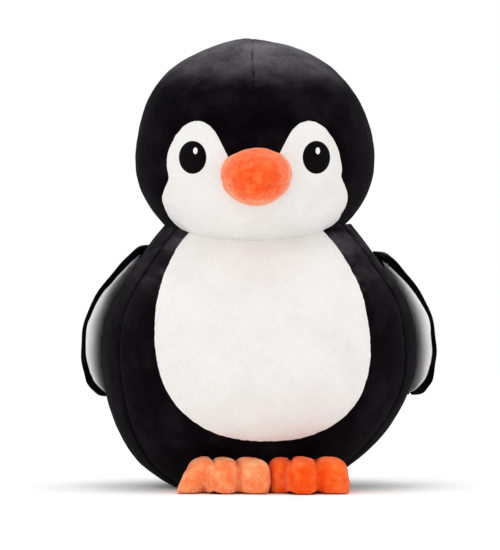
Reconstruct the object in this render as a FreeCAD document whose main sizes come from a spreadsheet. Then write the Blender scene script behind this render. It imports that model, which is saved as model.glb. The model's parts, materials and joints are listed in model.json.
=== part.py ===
"""Plush penguin that sits upright: sewn pile-fabric panels over fibre stuffing.

Row frame: +Z up, +X to the right of someone facing the toy, the face looks along -Y.
The origin is the middle of the flat base panel, on the surface that the toy sits on.
"left" is the -X side. All sizes are millimetres and live in the Sizes spreadsheet.
"""
import FreeCAD, Part
import math
import os
import re

import Sketcher

SIZES = {
    # cloth and seams
    "pile": 3.0,                # thickness of the short-pile fabric
    "slack": 0.3,               # air between pieces that move past each other
    # head
    "head_wide": 78.0,
    "head_rise": 82.0,          # from the widest level to the crown
    "head_drop": 64.0,          # from the widest level to the underside
    "head_level": 213.0,        # height of the widest level
    "ear_seam": 94.0,           # degrees from the front to the ear-to-ear seam
    # neck wad
    "neck_across": 30.0,
    "neck_floor": 133.0,
    "neck_tall": 12.0,
    # torso
    "torso_wide": 103.0,
    "torso_rise": 105.0,
    "torso_drop": 100.0,
    "torso_level": 89.0,
    "side_seam": 65.0,          # degrees from the front to the side seam
    "neck_level": 169.0,        # the panels end just outside the head's clearance
    "base_across": 52.5,
    # face patch: two eye lobes over a wide muzzle
    "lobe_out": 37.5,
    "lobe_level": 215.0,
    "lobe_wide": 20.5,
    "lobe_tall": 24.5,
    "muzzle_level": 186.0,
    "muzzle_wide": 61.5,
    "muzzle_tall": 30.0,
    # eyes
    "eye_out": 40.3,
    "eye_level": 215.0,
    "eye_wide": 9.0,
    "eye_tall": 10.9,
    "glint_in": 1.2,
    "glint_up": 4.2,
    "glint_wide": 1.9,
    "glint_tall": 2.3,
    # beak
    "beak_front": 66.0,
    "beak_level": 202.5,
    "beak_wide": 23.7,
    "beak_long": 35.0,
    "beak_tall": 19.6,
    "beak_seam_drop": 4.0,
    # belly patch
    "belly_level": 93.0,
    "belly_wide": 71.5,
    "belly_rise": 92.0,
    "belly_drop": 66.0,
    # flippers
    "flipper_level": 105.0,
    "flipper_wide": 30.0,
    "flipper_tall": 50.0,
    "flipper_sweep": 14.0,      # degrees behind the widest plane
    # feet
    "toe_round": 14.5,
    "toe_level": 11.5,
    "toe_pitch": 18.5,
    "toe_front": 91.0,
    "toe_lead": 4.0,            # the middle toe is longer
    "foot_out": 33.5,
    "foot_heel": 52.0,
    "thread": 0.7,
    # closing seam
    "stitch_long": 5.0,
    "stitch_pitch": 6.0,
    "stitch_level": 59.0,
}
STITCHES = 9
# how far one surface stands outside another, in thicknesses of pile fabric
EMBROIDERY, FLIPPER_GAP, NECK_ROOM, FOOT_ROOM = 1 / 3, 5 / 6, 7 / 6, 4 / 3
BIG = 400.0                     # larger than the whole toy, for cutting blocks
TURN = 2 * math.pi
SIDES = {"left": -1, "right": 1}
ALONG_X, ALONG_Y, ALONG_Z = (FreeCAD.Vector(*axis) for axis in ((1, 0, 0), (0, 1, 0), (0, 0, 1)))

doc = FreeCAD.newDocument("plush_penguin")
pieces = {}


def make_sheet():
    sheet = doc.addObject("Spreadsheet::Sheet", "Sizes")
    for row, (alias, value) in enumerate(SIZES.items(), start=1):
        sheet.set(f"A{row}", alias)
        sheet.set(f"B{row}", str(value))
        sheet.setAlias(f"B{row}", alias)
    doc.recompute()


def cells(text):
    """The expression with every size's name read from the spreadsheet."""
    return re.sub(r"[a-z_]+", lambda word: ("Sizes." if word[0] in SIZES else "") + word[0], text)


def bind(item, **expressions):
    """Binds properties to the spreadsheet: Placement__Base__z is Placement.Base.z."""
    for name, text in expressions.items():
        item.setExpression(name.replace("__", "."), cells(text))
    return item


def place(item, x="0", y="0", z="0"):
    return bind(item, Placement__Base__x=x, Placement__Base__y=y, Placement__Base__z=z)


def fuse(name, *items):
    joined = doc.addObject("Part::MultiFuse", name)
    joined.Shapes = items
    return joined


def cut(name, base, tool):
    rest = doc.addObject("Part::Cut", name)
    rest.Base, rest.Tool = base, tool
    return rest


def common(name, *items):
    shared = doc.addObject("Part::MultiCommon", name)
    shared.Shapes = items
    return shared


def keep(name, item):
    """Marks a shape as a finished piece, which is written to parts/NAME.step."""
    item.Label = name
    pieces[name] = item
    return item


def block(name, low=(-BIG, -BIG, -BIG), high=(BIG, BIG, BIG)):
    """A cutting block between two corners, whose numbers may name sizes."""
    box = doc.addObject("Part::Box", name)
    for side, start, end in zip(("Length", "Width", "Height"), low, high):
        bind(box, **{side: f"({end}) - ({start})"})
    return place(box, *(f"({start})" for start in low))


def oval_bar(name, wide, tall, x, z):
    """An elliptical bar from far in front to the middle, to cut a patch out of a skin."""
    outline = doc.addObject("Part::Ellipse", f"{name}_outline")
    facing = FreeCAD.Rotation(ALONG_X, 90)
    upright = SIZES[tall] > SIZES[wide]
    if upright:
        facing = FreeCAD.Rotation(ALONG_Y, 90).multiply(facing)
    outline.Placement.Rotation = facing
    major, minor = (tall, wide) if upright else (wide, tall)
    bind(outline, MajorRadius=major, MinorRadius=minor)
    place(outline, x, str(-BIG), z)
    return extrude(name, outline, ALONG_Y)


def extrude(name, outline, direction):
    bar = doc.addObject("Part::Extrusion", name)
    bar.Base, bar.DirMode, bar.Dir, bar.Solid = outline, "Custom", direction, True
    bar.LengthFwd = BIG
    return bar


def origin_plane(body, role):
    return next(o for o in body.Origin.OriginFeatures if o.Role == role)


def sketch_on(body, name, role):
    sketch = body.newObject("Sketcher::SketchObject", name)
    sketch.AttachmentSupport = [(origin_plane(body, role), "")]
    sketch.MapMode = "FlatFace"
    return sketch


def size_constraint(sketch, kind, where, value, drawn=1.0):
    """Adds a dimension to a sketch, as large as it was drawn, and binds it to the spreadsheet."""
    number = sketch.addConstraint(Sketcher.Constraint(kind, *where, drawn))
    sketch.setExpression(f"Constraints[{number}]", cells(value))


def rectangle(sketch, wide, tall):
    """A rectangle with one corner on the sketch's origin, wide along its first axis."""
    w, t = (FreeCAD.Vector(1, 0, 0), FreeCAD.Vector(0, 1, 0))
    corners = (FreeCAD.Vector(0, 0, 0), w, w + t, t)
    for start, end in zip(corners, corners[1:] + corners[:1]):
        sketch.addGeometry(Part.LineSegment(start, end), False)
    for edge in range(4):
        sketch.addConstraint(Sketcher.Constraint("Coincident", edge, 2, (edge + 1) % 4, 1))
        kind = "Horizontal" if edge % 2 == 0 else "Vertical"
        sketch.addConstraint(Sketcher.Constraint(kind, edge))
    sketch.addConstraint(Sketcher.Constraint("Coincident", 0, 1, -1, 1))
    size_constraint(sketch, "DistanceX", (0, 1, 0, 2), wide)
    size_constraint(sketch, "DistanceY", (1, 1, 1, 2), tall)


def quarter_oval(sketch, wide, pole):
    """A quarter of an oval about the origin, between (wide, 0) and (0, pole)."""
    across, up = FreeCAD.Vector(wide, 0, 0), FreeCAD.Vector(0, pole, 0)
    upright = abs(pole) > wide
    above = FreeCAD.Vector(0, abs(pole), 0)
    oval = Part.Ellipse(*((above, -across) if upright else (across, above)), FreeCAD.Vector())
    start, end = (oval.parameter(point) for point in ((across, up) if pole > 0 else (up, across)))
    arc = sketch.addGeometry(Part.ArcOfEllipse(oval, start, end if end > start else end + TURN), False)
    sketch.exposeInternalGeometry(arc)
    sketch.addConstraint(Sketcher.Constraint("Coincident", arc, 3, -1, 1))
    long_line, short_line = arc + 1, arc + 2
    sketch.addConstraint(Sketcher.Constraint("Vertical" if upright else "Horizontal", long_line))
    return arc, *((short_line, long_line) if upright else (long_line, short_line))


def half_egg(sketch, form, grow):
    """The form's outline on +X, as two arcs, with its surface moved out by a number of piles."""
    numbers = [SIZES[f"{form}_{side}"] + grow * SIZES["pile"] for side in ("wide", "rise", "drop")]
    wide, rise, drop = numbers
    top, top_wide, top_tall = quarter_oval(sketch, wide, rise)
    low, _, low_tall = quarter_oval(sketch, wide, -drop)
    for line, side, number in zip((top_wide, top_tall, low_tall), ("wide", "rise", "drop"), numbers):
        value = f"2 * ({form}_{side} + {grow} * pile)"
        size_constraint(sketch, "Distance", (line, 1, line, 2), value, 2 * number)
    for ends in ((top, 1, -1), (top, 2, -2), (low, 1, -2)):
        sketch.addConstraint(Sketcher.Constraint("PointOnObject", *ends))
    sketch.addConstraint(Sketcher.Constraint("Coincident", low, 2, top, 1))
    return (top, 2, FreeCAD.Vector(0, rise, 0)), (low, 1, FreeCAD.Vector(0, -drop, 0))


def join(sketch, first, second):
    """A straight line between two ends, each given as geometry, end and point."""
    line = sketch.addGeometry(Part.LineSegment(first[2], second[2]), False)
    for end, (geometry, which, _) in enumerate((first, second), start=1):
        sketch.addConstraint(Sketcher.Constraint("Coincident", line, end, geometry, which))


def turn(body, profile, level, sweep="360", facing="0"):
    """Revolves a profile about the toy's upright axis, by sweep degrees around facing."""
    turned = body.newObject("PartDesign::Revolution", f"{body.Name}_turned")
    turned.Profile = profile
    turned.ReferenceAxis = (profile, ["V_Axis"])
    turned.Midplane = True
    bind(turned, Angle=sweep)
    bind(body, Placement__Rotation__Angle=facing)
    return place(body, z=level)


def egg(name, form, grow=0):
    """The whole form as a solid."""
    body = doc.addObject("PartDesign::Body", name)
    profile = sketch_on(body, f"{name}_profile", "XZ_Plane")
    join(profile, *half_egg(profile, form, grow))
    return turn(body, profile, f"{form}_level")


def gore(name, form, sweep, facing):
    """A panel of the form's fabric between two upright seams; -90 degrees faces forwards."""
    body = doc.addObject("PartDesign::Body", name)
    profile = sketch_on(body, f"{name}_profile", "XZ_Plane")
    for outer, inner in zip(half_egg(profile, form, 0), half_egg(profile, form, -1)):
        join(profile, outer, inner)
    return turn(body, profile, f"{form}_level", sweep, facing)


# ---------------------------------------------------------------------------- head
def make_head():
    """The black cap in four panels with its white face patch, over one ball of stuffing."""
    lobes = [
        oval_bar(f"lobe_{side}", "lobe_wide", "lobe_tall", f"{sign} * lobe_out", "lobe_level")
        for side, sign in SIDES.items()
    ]
    muzzle = oval_bar("muzzle", "muzzle_wide", "muzzle_tall", "0", "muzzle_level")
    face = fuse("face_outline", *lobes, muzzle)
    keep("face_panel", common("face_cut", gore("head_front", "head", "2 * ear_seam", "-90"), face))
    for side, sign in SIDES.items():
        middle = f"90 - 90 * {sign}"
        facing = f"{middle} - {sign} * (90 - ear_seam / 2)"
        front = gore(f"head_front_{side}_gore", "head", "ear_seam", facing)
        keep(f"head_front_{side}", cut(f"head_front_{side}_cut", front, face))
        facing = f"{middle} + {sign} * ear_seam / 2"
        rear = gore(f"head_back_{side}_gore", "head", "180 - ear_seam", facing)
        keep(f"head_back_{side}", rear)
    keep("head_stuffing", egg("head_lining", "head", -1))


def make_eyes(head_form):
    """Embroidered oval eyes, each with a small white highlight set into it."""
    trim = cut("trim_skin", egg("trim_form", "head", EMBROIDERY), head_form)
    for side, sign in SIDES.items():
        at = f"{sign} * eye_out"
        eye = oval_bar(f"eye_{side}_bar", "eye_wide", "eye_tall", at, "eye_level")
        glint = oval_bar(
            f"glint_{side}_bar", "glint_wide", "glint_tall", f"{at} + glint_in", "eye_level + glint_up"
        )
        oval = common(f"eye_{side}_oval", trim, eye)
        keep(f"eye_{side}", cut(f"eye_{side}_cut", oval, glint))
        keep(f"eye_highlight_{side}", common(f"glint_{side}_cut", trim, glint))


def ellipsoid(name, wide, deep, tall):
    ball = doc.addObject("Part::Ellipsoid", name)
    return bind(ball, Radius1=tall, Radius2=wide, Radius3=deep)


def make_beak(head_form):
    """A blunt stuffed beak, sewn to the face, with its seam below the middle."""
    form = ellipsoid("beak_form", "beak_wide", "beak_long", "beak_tall")
    lining = ellipsoid("beak_lining", "beak_wide - pile", "beak_long - pile", "beak_tall - pile")
    for ball in (form, lining):
        place(ball, y="-1 * beak_front", z="beak_level")
    stuffing = keep("beak_stuffing", cut("beak_fill", lining, head_form))
    skin = cut("beak_skin", cut("beak_outside", form, head_form), stuffing)
    seam = "beak_level - beak_seam_drop"
    above = block("above_beak_seam", (-BIG, -BIG, seam), (BIG, BIG, BIG))
    keep("beak_upper", common("beak_upper_cut", skin, above))
    keep("beak_lower", cut("beak_lower_cut", skin, above))


def upright_cylinder(name, radius, floor, tall):
    """A turned plug on the toy's axis, made as a revolved rectangle."""
    body = doc.addObject("PartDesign::Body", name)
    profile = sketch_on(body, f"{name}_profile", "XZ_Plane")
    rectangle(profile, radius, tall)
    return turn(body, profile, floor)


def make_neck():
    """The firm wad in the neck opening, which carries the head."""
    keep("neck_stuffing", upright_cylinder("neck_wad", "neck_across", "neck_floor", "neck_tall"))


# --------------------------------------------------------------------------- torso
def make_torso(head_room):
    """The black torso panels and white belly over one stuffing, open at the neck."""
    above_base = block("above_base", (-BIG, -BIG, "pile"), (BIG, BIG, BIG))
    pocket = upright_cylinder(
        "neck_pocket", "neck_across + slack", "neck_floor - slack", "neck_tall + 2 * neck_across"
    )
    core = common("torso_fill", egg("torso_lining", "torso", -1), above_base)
    keep("body_stuffing", cut("body_core", cut("torso_core", core, head_room), pocket))

    belly_halves = []
    for half, low, high in (("rise", "belly_level", BIG), ("drop", -BIG, "belly_level")):
        bar = oval_bar(f"belly_{half}_bar", "belly_wide", f"belly_{half}", "0", "belly_level")
        limit = block(f"belly_{half}_block", (-BIG, -BIG, low), (BIG, BIG, high))
        belly_halves.append(common(f"belly_{half}_half", bar, limit))
    belly = fuse("belly_outline", *belly_halves)

    between_ends = block("between_ends", (-BIG, -BIG, "pile"), (BIG, BIG, "neck_level"))

    def panel(name, sweep, facing):
        return common(f"{name}_open", gore(f"{name}_gore", "torso", sweep, facing), between_ends)

    front = panel("body_front", "2 * side_seam", "-90")
    keep("belly_panel", common("belly_cut", front, belly))
    keep("body_front_panel", cut("body_front_cut", front, belly))
    for side, sign in SIDES.items():
        middle = f"90 - 90 * {sign} + {sign} * side_seam / 2"
        keep(f"body_back_{side}", panel(f"body_back_{side}", "180 - side_seam", middle))


def make_base():
    """The flat round panel that the toy sits on."""
    body = keep("base_panel", doc.addObject("PartDesign::Body", "base_body"))
    disc = sketch_on(body, "base_disc", "XY_Plane")
    disc.addGeometry(Part.Circle(FreeCAD.Vector(), ALONG_Z, SIZES["base_across"]), False)
    disc.addConstraint(Sketcher.Constraint("Coincident", 0, 3, -1, 1))
    size_constraint(disc, "Radius", (0,), "base_across", SIZES["base_across"])
    pad = body.newObject("PartDesign::Pad", "base_pad")
    pad.Profile = disc
    bind(pad, Length="pile")


# ------------------------------------------------------------------------ flippers
def make_flippers():
    """Thin leaves that follow the torso's side: white lining, wadding and black outside."""
    levels = [egg(f"flipper_level_{n}", "torso", FLIPPER_GAP + n) for n in range(4)]
    names = ("inner", "wadding", "outer")
    layers = {
        name: cut(f"flipper_{name}_layer", levels[n + 1], levels[n]) for n, name in enumerate(names)
    }
    for side, sign in SIDES.items():
        outline = doc.addObject("Part::Ellipse", f"flipper_{side}_outline")
        bind(outline, MajorRadius="flipper_tall", MinorRadius="flipper_wide")
        outward = FreeCAD.Vector(sign, 0, 0)
        outline.Placement.Rotation = FreeCAD.Rotation(ALONG_Z, FreeCAD.Vector(), outward, "ZXY")
        leaf = extrude(f"flipper_{side}_leaf", outline, outward)
        bind(leaf, Placement__Rotation__Angle=f"{sign} * flipper_sweep")
        place(leaf, z="flipper_level")
        for name, layer in layers.items():
            keep(f"flipper_{side}_{name}", common(f"flipper_{side}_{name}_cut", layer, leaf))


# ---------------------------------------------------------------------------- feet
def toes(name, sign, shrink):
    """Three side-by-side capsules that point forwards; the middle one leads."""
    shapes = []
    for toe in (-1, 0, 1):
        lead = f"toe_lead * {1 - abs(toe)}"
        across = f"{sign} * foot_out + {toe} * toe_pitch"
        tip = f"-1 * (toe_front + {lead})"
        barrel = doc.addObject("Part::Cylinder", f"{name}_barrel_{toe + 2}")
        barrel.Placement.Rotation = FreeCAD.Rotation(ALONG_X, -90)
        long = f"toe_front + {lead} - foot_heel - {shrink}"
        bind(barrel, Radius=f"toe_round - {shrink}", Height=long)
        ball = doc.addObject("Part::Sphere", f"{name}_ball_{toe + 2}")
        ball.Placement.Rotation = barrel.Placement.Rotation
        bind(ball, Radius=f"toe_round - {shrink}")
        shapes += [place(barrel, across, tip, "toe_level"), place(ball, across, tip, "toe_level")]
    return fuse(name, *shapes)


def make_feet():
    """Three-toed feet under the belly: upper, flat sole, stuffing and toe stitches."""
    room = egg("foot_room", "torso", FOOT_ROOM)
    fill_room = egg("foot_fill_room", "torso", FOOT_ROOM + 1)
    above_floor = block("above_floor", (-BIG, -BIG, 0), (BIG, BIG, BIG))
    above_sole = block("above_sole", (-BIG, -BIG, "pile"), (BIG, BIG, BIG))
    for side, sign in SIDES.items():
        foot = f"foot_{side}"
        outside = common(f"{foot}_outside", toes(f"{foot}_toes", sign, "0"), above_floor)
        outside = cut(f"{foot}_form", outside, room)
        inside = common(f"{foot}_inside", toes(f"{foot}_lining", sign, "pile"), above_sole)
        stuffing = keep(f"{foot}_stuffing", cut(f"{foot}_fill", inside, fill_room))
        skin = cut(f"{foot}_skin", outside, stuffing)
        keep(f"{foot}_upper", common(f"{foot}_upper_cut", skin, above_sole))
        keep(f"{foot}_sole", cut(f"{foot}_sole_cut", skin, above_sole))
        threads = []
        for crease in (-1, 1):
            line = doc.addObject("Part::Cylinder", f"{foot}_thread_{crease + 2}")
            line.Placement.Rotation = FreeCAD.Rotation(ALONG_X, -90)
            bind(line, Radius="thread", Height="toe_front - foot_heel - 9 * pile")
            reach = "(toe_round + thread + 0.05)"
            height = f"toe_level + sqrt({reach} * {reach} - toe_pitch * toe_pitch / 4)"
            across = f"{sign} * foot_out + {crease} * toe_pitch / 2"
            threads.append(place(line, across, "-1 * toe_front", height))
        keep(f"{foot}_toe_stitches", fuse(f"{foot}_threads", *threads))


# -------------------------------------------------------------------- closing seam
def make_closing_stitches():
    """Ladder stitches up the middle back seam, where the toy was filled and closed."""
    stitches = []
    for number in range(STITCHES):
        height = f"(stitch_level + {number} * stitch_pitch)"
        low = SIZES["stitch_level"] + number * SIZES["stitch_pitch"] < SIZES["torso_level"]
        rise = "torso_drop" if low else "torso_rise"
        behind = f"torso_wide * sqrt(1 - (({height} - torso_level) / {rise}) ^ 2) + thread + 0.05"
        stitch = doc.addObject("Part::Cylinder", f"stitch_{number + 1}")
        stitch.Placement.Rotation = FreeCAD.Rotation(ALONG_Y, 90)
        bind(stitch, Radius="thread", Height="stitch_long")
        stitches.append(place(stitch, "-0.5 * stitch_long", behind, height))
    keep("closing_stitches", fuse("stitch_row", *stitches))


def check():
    """Stops if any object failed, or a piece's shape is null, invalid or not solid."""
    for item in doc.Objects:
        if {"Invalid", "Error"} & set(item.State):
            raise SystemExit(f"{item.Name} failed: {item.State}")
    for name, item in pieces.items():
        shape = item.Shape
        if shape.isNull() or not shape.isValid() or not shape.Solids:
            raise SystemExit(f"{name} has no valid solid")


def write():
    os.makedirs("parts", exist_ok=True)
    for name, item in pieces.items():
        item.Shape.exportStep(f"parts/{name}.step")
        print(f"{name}: {len(item.Shape.Solids)} solids, {item.Shape.Volume / 1000:.2f} cm3")


make_sheet()
head_room = egg("head_room", "head", NECK_ROOM)
head_form = egg("head_form", "head")
make_head()
make_eyes(head_form)
make_beak(head_form)
make_neck()
make_torso(head_room)
make_base()
make_flippers()
make_feet()
make_closing_stitches()
doc.recompute()
check()
write()
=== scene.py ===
"""Looks of the plush penguin: pile-fabric panels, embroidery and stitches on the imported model.

Shapes are worked out in millimetres, and go to Blender in metres. Directions round the toy are
angles from its front, -Y, positive towards +X. Heights are the frame's Z, from the floor.
"""
import json
import math

import bpy
import numpy as np
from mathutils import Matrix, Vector, noise
from mathutils.bvhtree import BVHTree


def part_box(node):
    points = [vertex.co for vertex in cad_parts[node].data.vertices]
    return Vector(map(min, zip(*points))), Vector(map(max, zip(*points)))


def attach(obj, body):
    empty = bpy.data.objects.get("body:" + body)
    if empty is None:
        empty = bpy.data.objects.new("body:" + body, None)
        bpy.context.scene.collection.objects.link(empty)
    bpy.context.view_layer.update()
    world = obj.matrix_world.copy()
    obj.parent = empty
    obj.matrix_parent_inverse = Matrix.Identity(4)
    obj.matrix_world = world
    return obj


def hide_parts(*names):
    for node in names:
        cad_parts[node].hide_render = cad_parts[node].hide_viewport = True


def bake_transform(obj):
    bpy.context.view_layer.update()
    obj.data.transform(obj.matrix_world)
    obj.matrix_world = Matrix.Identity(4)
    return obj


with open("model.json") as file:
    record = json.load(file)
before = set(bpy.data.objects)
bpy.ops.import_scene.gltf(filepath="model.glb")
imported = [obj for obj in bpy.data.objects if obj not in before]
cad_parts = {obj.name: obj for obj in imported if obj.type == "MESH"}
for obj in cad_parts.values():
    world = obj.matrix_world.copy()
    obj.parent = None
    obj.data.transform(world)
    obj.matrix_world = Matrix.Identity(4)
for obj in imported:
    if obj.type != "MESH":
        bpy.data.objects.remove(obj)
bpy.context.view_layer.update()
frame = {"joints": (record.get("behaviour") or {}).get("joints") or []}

MM = 0.001
SIDES = {"left": -1, "right": 1}
SIM_FRAMES = 20


def cad_box(*nodes):
    """The lowest and highest corner of some CAD nodes together, in millimetres."""
    corners = np.array([[list(corner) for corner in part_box(node)] for node in nodes]) / MM
    return corners[:, 0].min(0), corners[:, 1].max(0)


def joint(name):
    return next(j for j in frame["joints"] if j["name"] == name)


# ---------------- driving dimensions
head_low, head_high = cad_box("head_front_left", "head_front_right", "head_back_left")
_, torso_high = cad_box("body_back_left", "body_back_right")
PILE = cad_box("base_panel")[1][2]      # the fabric's thickness with its pile
PANEL = PILE * 0.8              # how thick the head and body panels are made here
HEAD_LEVEL = joint("head_turn")["pos_m"][2] / MM
HEAD_WIDE = head_high[0]
CROWN_DIP = 2.2                 # how far the crown settles
HEAD_RISE = head_high[2] - HEAD_LEVEL - CROWN_DIP
HEAD_DROP = HEAD_LEVEL - head_low[2]
HEAD_ASIDE, CROWN_LEAN = 0.2, 1.4       # to the left, and how much more at the crown
TEMPLES = (268, 18, 0.032)      # level, spread and share of the fullness beside the crown
CHIN = 6.0                      # how much lower the muzzle hangs than the back of the head
TORSO_WIDE = torso_high[0]
WAIST = (152, 24.5, 0.075)      # level, spread and share of the dip at the shoulders
TUCK = (167, 9, 0.16)           # the same for the tuck under the chin
SLUMP = 8.5                     # how far the base slumps to the left
TORSO_LEVEL, TORSO_RISE, TORSO_DROP = 89.0, 105.0, 100.0
EAR_SEAM, SIDE_SEAM = math.radians(94), math.radians(65)
BODY_OUT = 2.4                  # the body sits a little to the right of the head
YAW = math.radians(3.5)         # and is turned a little to the right
BELLY_OUT = 4.7                 # the white patch's middle, at its widest level


# ---------------- form curves
def rounded(angle, power):
    """A sine whose hump is squarer, with a power below 1."""
    wave = np.sin(angle)
    return np.sign(wave) * np.abs(wave) ** power


def bell(value, middle, width):
    """A hump of height 1."""
    return np.exp(-(((value - middle) / width) ** 2))


def hump(height, shape):
    """A share that fades out above and below a level."""
    level, spread, share = shape
    return share * bell(height, level, spread)


def head_lean(height):
    """The crown leans a little to the left."""
    return -CROWN_LEAN * np.clip((height - 225) / 50, 0, 1) - HEAD_ASIDE


def head(az, tilt):
    """The head's surface; tilt runs from -90 degrees under the head to 90 at the crown."""
    front = np.clip(np.cos(az), 0, 1) ** 2
    below = tilt < 0
    power = np.where(below, 1 - 0.2 * front, 1.0)
    tall = np.where(below, HEAD_DROP + CHIN * front, HEAD_RISE)
    across = HEAD_WIDE * np.clip(np.cos(tilt), 0, 1) ** power
    across = across * (1 - 0.42 * np.clip(np.sin(tilt), 0, 1) ** 20)
    height = HEAD_LEVEL + tall * np.sign(tilt) * np.abs(np.sin(tilt)) ** power
    across = across * (1 + hump(height, TEMPLES))
    return np.stack([across * np.sin(az) + head_lean(height), -across * np.cos(az), height], -1)


def torso(az, tilt):
    """The body's surface: narrow shoulders, tucked in under the chin and slumped at the base."""
    front = np.clip(np.cos(az), 0, 1) ** 2
    height = TORSO_LEVEL + np.where(tilt < 0, TORSO_DROP, TORSO_RISE) * np.sin(tilt)
    across = TORSO_WIDE * np.cos(tilt) * (1 - hump(height, WAIST))
    across = across * (1 - front * hump(height, TUCK))
    slump = -SLUMP * np.clip((75 - height) / 60, 0, 1) ** 1.5
    x = across * np.sin(az + YAW) + BODY_OUT + slump
    return np.stack([x, -across * np.cos(az + YAW), height], -1)


def normals(surface, az, tilt, step=0.004):
    """Outward unit normals of a surface."""
    sideways = surface(az + step, tilt) - surface(az - step, tilt)
    low, high = np.clip(tilt - step, -1.5, 1.55), np.clip(tilt + step, -1.5, 1.55)
    upwards = surface(az, high) - surface(az, low)
    normal = np.cross(sideways, upwards)
    length = np.linalg.norm(normal, axis=-1, keepdims=True)
    return np.where(length > 1e-9, normal / np.maximum(length, 1e-9), (0, 0, 1))


def torso_tilt(height):
    """The tilt at which the body's surface has a height."""
    above = height - TORSO_LEVEL
    return math.asin(above / (TORSO_RISE if above > 0 else TORSO_DROP))


# ---------------- flat outlines
def smooth_loop(points, steps=12):
    """A closed curve through points (Catmull-Rom)."""
    p = np.array(points, float)
    before, after, beyond = np.roll(p, 1, 0), np.roll(p, -1, 0), np.roll(p, -2, 0)
    curve = []
    for t in np.linspace(0, 1, steps, endpoint=False):
        square = 2 * before - 5 * p + 4 * after - beyond
        cube = 3 * p - before - 3 * after + beyond
        curve.append(0.5 * (2 * p + (after - before) * t + square * t ** 2 + cube * t ** 3))
    return np.stack(curve, 1).reshape(-1, 2)


def face_outline():
    """The white face, seen from the front: two eye lobes over wide cheeks."""
    lean = 1.3
    half = [
        (0, 203), (13, 211), (18, 219), (24, 230.5), (30, 236.8), (37, 238.7), (44.5, 236),
        (51, 228.5), (55.5, 219), (57, 208.5), (56.3, 201.5), (59.4, 194), (60.3, 187),
        (57, 178.3), (51.3, 170.5), (36, 160), (18, 154), (0, 152),
    ]
    other = [(-x, z) for x, z in half[-2:0:-1]]
    loop = smooth_loop(half + other)
    loop[:, 0] -= lean * np.clip((loop[:, 1] - 200) / 15, 0, 1)
    return loop


def belly_outline():
    """The white belly, seen from the front: an egg, widest below its middle."""
    wide, level, rise, drop = 69.7, 98.5, 88.6, 66.0
    turn = np.linspace(0, 2 * math.pi, 160, endpoint=False)
    upper = np.sin(turn) > 0
    power = np.where(upper, 1.0, 0.85)
    height = level + np.where(upper, rise, drop) * rounded(turn, power)
    middle = BELLY_OUT + 0.05 * (level - height)
    return np.stack([middle + wide * rounded(turn + math.pi / 2, power), height], -1)


def signed_distance(points, outline):
    """Millimetres from an outline, negative inside."""
    start, end = outline, np.roll(outline, -1, 0)
    best = np.full(len(points), np.inf)
    inside = np.zeros(len(points), bool)
    for a, b in zip(start, end):
        edge = b - a
        along = np.clip(((points - a) @ edge) / (edge @ edge), 0, 1)
        best = np.minimum(best, np.linalg.norm(points - (a + along[:, None] * edge), axis=1))
        crosses = (a[1] > points[:, 1]) != (b[1] > points[:, 1])
        if a[1] != b[1]:
            reach = a[0] + (points[:, 1] - a[1]) * edge[0] / edge[1]
            inside ^= crosses & (points[:, 0] < reach)
    return np.where(inside, -best, best)


# ---------------- mesh helpers
def grid(az_range, tilt_range, columns, rows):
    """Surface coordinates and quads of a rectangular patch."""
    az, tilt = np.meshgrid(np.linspace(*az_range, columns), np.linspace(*tilt_range, rows))
    index = np.arange(rows * columns).reshape(rows, columns)
    quads = np.stack([index[:-1, :-1], index[:-1, 1:], index[1:, 1:], index[1:, :-1]], -1)
    return np.stack([az.ravel(), tilt.ravel()], -1), [tuple(q) for q in quads.reshape(-1, 4)]


def cut_along(coords, faces, field):
    """Splits faces where field is 0. Returns the coordinates, and the faces below and above."""
    coords, field = list(coords), list(field)
    made, below, above = {}, [], []

    def crossing(a, b):
        key = (min(a, b), max(a, b))
        if key not in made:
            t = field[a] / (field[a] - field[b])
            coords.append(coords[a] + (coords[b] - coords[a]) * t)
            made[key] = len(coords) - 1
        return made[key]

    for face in faces:
        signs = [field[v] >= 0 for v in face]
        if all(signs) or not any(signs):
            (above if signs[0] else below).append(face)
            continue
        parts = {True: [], False: []}
        for k, a in enumerate(face):
            b = face[(k + 1) % len(face)]
            parts[signs[k]].append(a)
            if signs[k] != (field[b] >= 0):
                middle = crossing(a, b)
                parts[True].append(middle)
                parts[False].append(middle)
        below.append(tuple(parts[False]))
        above.append(tuple(parts[True]))
    return np.array(coords), below, above


def ring_corners(rings, spokes):
    """Between rings of points: two neighbours on a ring, and the same two on the next ring."""
    for ring in range(rings):
        for spoke in range(spokes):
            a, b = ring * spokes + spoke, ring * spokes + (spoke + 1) % spokes
            yield a, b, a + spokes, b + spokes


def wobble(points, size, seed):
    """Smooth noise of about -1 to 1, with lumps of a size in millimetres."""
    shift = Vector((seed * 17.3, seed * 5.1, seed * 29.7))
    return np.array([noise.noise(Vector(p) / size + shift) for p in points])


def new_object(name, verts, faces, material):
    """A smooth mesh object from millimetre points."""
    mesh = bpy.data.meshes.new(name)
    places = [tuple(v) for v in np.asarray(verts) * MM]
    mesh.from_pydata(places, [], [tuple(map(int, f)) for f in faces])
    mesh.validate()
    mesh.shade_smooth()
    mesh.set_sharp_from_angle(angle=math.radians(65))
    mesh.materials.append(material)
    thing = bpy.data.objects.new(name, mesh)
    bpy.context.scene.collection.objects.link(thing)
    return thing


def clean(verts, faces):
    """Drops unused and repeated points, and faces with fewer than three corners left."""
    keys = np.round(np.asarray(verts) / 1e-4).astype(np.int64)
    used = np.unique(np.concatenate([np.array(f) for f in faces]))
    _, first, inverse = np.unique(keys[used], axis=0, return_index=True, return_inverse=True)
    renumber = dict(zip(used.tolist(), inverse.ravel().tolist()))
    tidy = []
    for face in faces:
        corners = list(dict.fromkeys(renumber[v] for v in face))
        if len(corners) > 2:
            tidy.append(tuple(corners))
    return np.asarray(verts)[used[first]], tidy, used[first]


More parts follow.
